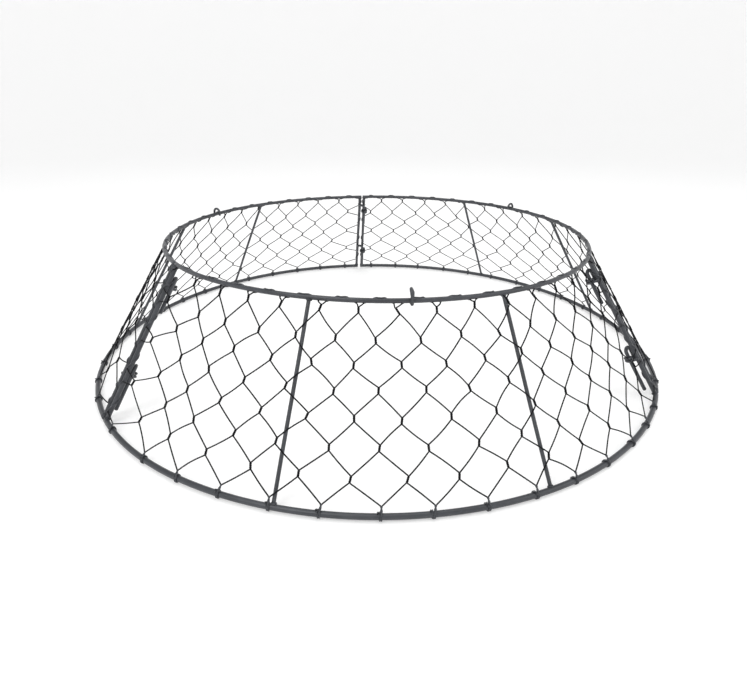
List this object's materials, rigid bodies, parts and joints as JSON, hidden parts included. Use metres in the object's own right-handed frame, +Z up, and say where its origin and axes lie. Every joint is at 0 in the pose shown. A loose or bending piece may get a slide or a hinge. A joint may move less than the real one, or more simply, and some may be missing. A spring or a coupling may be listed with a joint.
{
  "type": "tree guard base section",
  "caption": "Conical wire tree guard section of hinged panels in steel rod with hexagonal netting, joined by drop pins in coiled eyes, with stacking hooks on the top ring.",
  "frame": {"origin": "centre line of the guard, on the ground under the bottom ring", "axes": "+Z up along the centre line; -Y out through the front panel, beside its stacking hook; +Y through the seam opposite it"},
  "size_m": [0.7092, 0.7091, 0.1624],
  "materials": {
    "front_bottom_rail_coat": "dark grey coat, satin",
    "front_top_rail_coat": "dark grey coat, satin",
    "front_start_stile_coat": "dark grey coat, satin",
    "front_end_stile_coat": "dark grey coat, satin",
    "front_upright_1_coat": "dark grey coat, satin",
    "front_upright_2_coat": "dark grey coat, satin",
    "front_stacking_hook_coat": "dark grey coat, satin",
    "front_netting_coat": "dark grey coat, satin",
    "front_upper_eye_coat": "dark grey coat, satin",
    "front_lower_eye_coat": "dark grey coat, satin",
    "front_upper_pin_coat": "dark grey coat, satin",
    "front_lower_pin_coat": "dark grey coat, satin",
    "right_bottom_rail_coat": "dark grey coat, satin",
    "right_top_rail_coat": "dark grey coat, satin",
    "right_start_stile_coat": "dark grey coat, satin",
    "right_end_stile_coat": "dark grey coat, satin",
    "right_upright_1_coat": "dark grey coat, satin",
    "right_upright_2_coat": "dark grey coat, satin",
    "right_stacking_hook_coat": "dark grey coat, satin",
    "right_netting_coat": "dark grey coat, satin",
    "right_upper_eye_coat": "dark grey coat, satin",
    "right_lower_eye_coat": "dark grey coat, satin",
    "right_upper_pin_coat": "dark grey coat, satin",
    "right_lower_pin_coat": "dark grey coat, satin",
    "left_bottom_rail_coat": "dark grey coat, satin",
    "left_top_rail_coat": "dark grey coat, satin",
    "left_start_stile_coat": "dark grey coat, satin",
    "left_end_stile_coat": "dark grey coat, satin",
    "left_upright_1_coat": "dark grey coat, satin",
    "left_upright_2_coat": "dark grey coat, satin",
    "left_stacking_hook_coat": "dark grey coat, satin",
    "left_netting_coat": "dark grey coat, satin",
    "left_upper_eye_coat": "dark grey coat, satin",
    "left_lower_eye_coat": "dark grey coat, satin",
    "left_upper_pin_coat": "dark grey coat, satin",
    "left_lower_pin_coat": "dark grey coat, satin"
  },
  "bodies": {
    "front_panel": {"front_bottom_rail": "front_bottom_rail_coat", "front_top_rail": "front_top_rail_coat", "front_start_stile": "front_start_stile_coat", "front_end_stile": "front_end_stile_coat", "front_upright_1": "front_upright_1_coat", "front_upright_2": "front_upright_2_coat", "front_stacking_hook": "front_stacking_hook_coat", "front_netting": "front_netting_coat", "front_upper_eye": "front_upper_eye_coat", "front_lower_eye": "front_lower_eye_coat", "front_upper_pin": "front_upper_pin_coat", "front_lower_pin": "front_lower_pin_coat"},
    "right_panel": {"right_bottom_rail": "right_bottom_rail_coat", "right_top_rail": "right_top_rail_coat", "right_start_stile": "right_start_stile_coat", "right_end_stile": "right_end_stile_coat", "right_upright_1": "right_upright_1_coat", "right_upright_2": "right_upright_2_coat", "right_stacking_hook": "right_stacking_hook_coat", "right_netting": "right_netting_coat", "right_upper_eye": "right_upper_eye_coat", "right_lower_eye": "right_lower_eye_coat", "right_upper_pin": "right_upper_pin_coat", "right_lower_pin": "right_lower_pin_coat"},
    "left_panel": {"left_bottom_rail": "left_bottom_rail_coat", "left_top_rail": "left_top_rail_coat", "left_start_stile": "left_start_stile_coat", "left_end_stile": "left_end_stile_coat", "left_upright_1": "left_upright_1_coat", "left_upright_2": "left_upright_2_coat", "left_stacking_hook": "left_stacking_hook_coat", "left_netting": "left_netting_coat", "left_upper_eye": "left_upper_eye_coat", "left_lower_eye": "left_lower_eye_coat", "left_upper_pin": "left_upper_pin_coat", "left_lower_pin": "left_lower_pin_coat"}
  },
  "joints": [
    {"name": "right_panel_swing", "type": "hinge", "parent": "front_panel", "child": "right_panel", "pos_m": [0.24914, -0.15963, 0.07256], "axis": [-0.454, 0.2903, 0.8424], "range_deg": [-12, 60]},
    {"name": "left_panel_swing", "type": "hinge", "parent": "front_panel", "child": "left_panel", "pos_m": [-0.25637, -0.14773, 0.07256], "axis": [0.4667, 0.2694, 0.8424], "range_deg": [0, 12]}
  ]
}
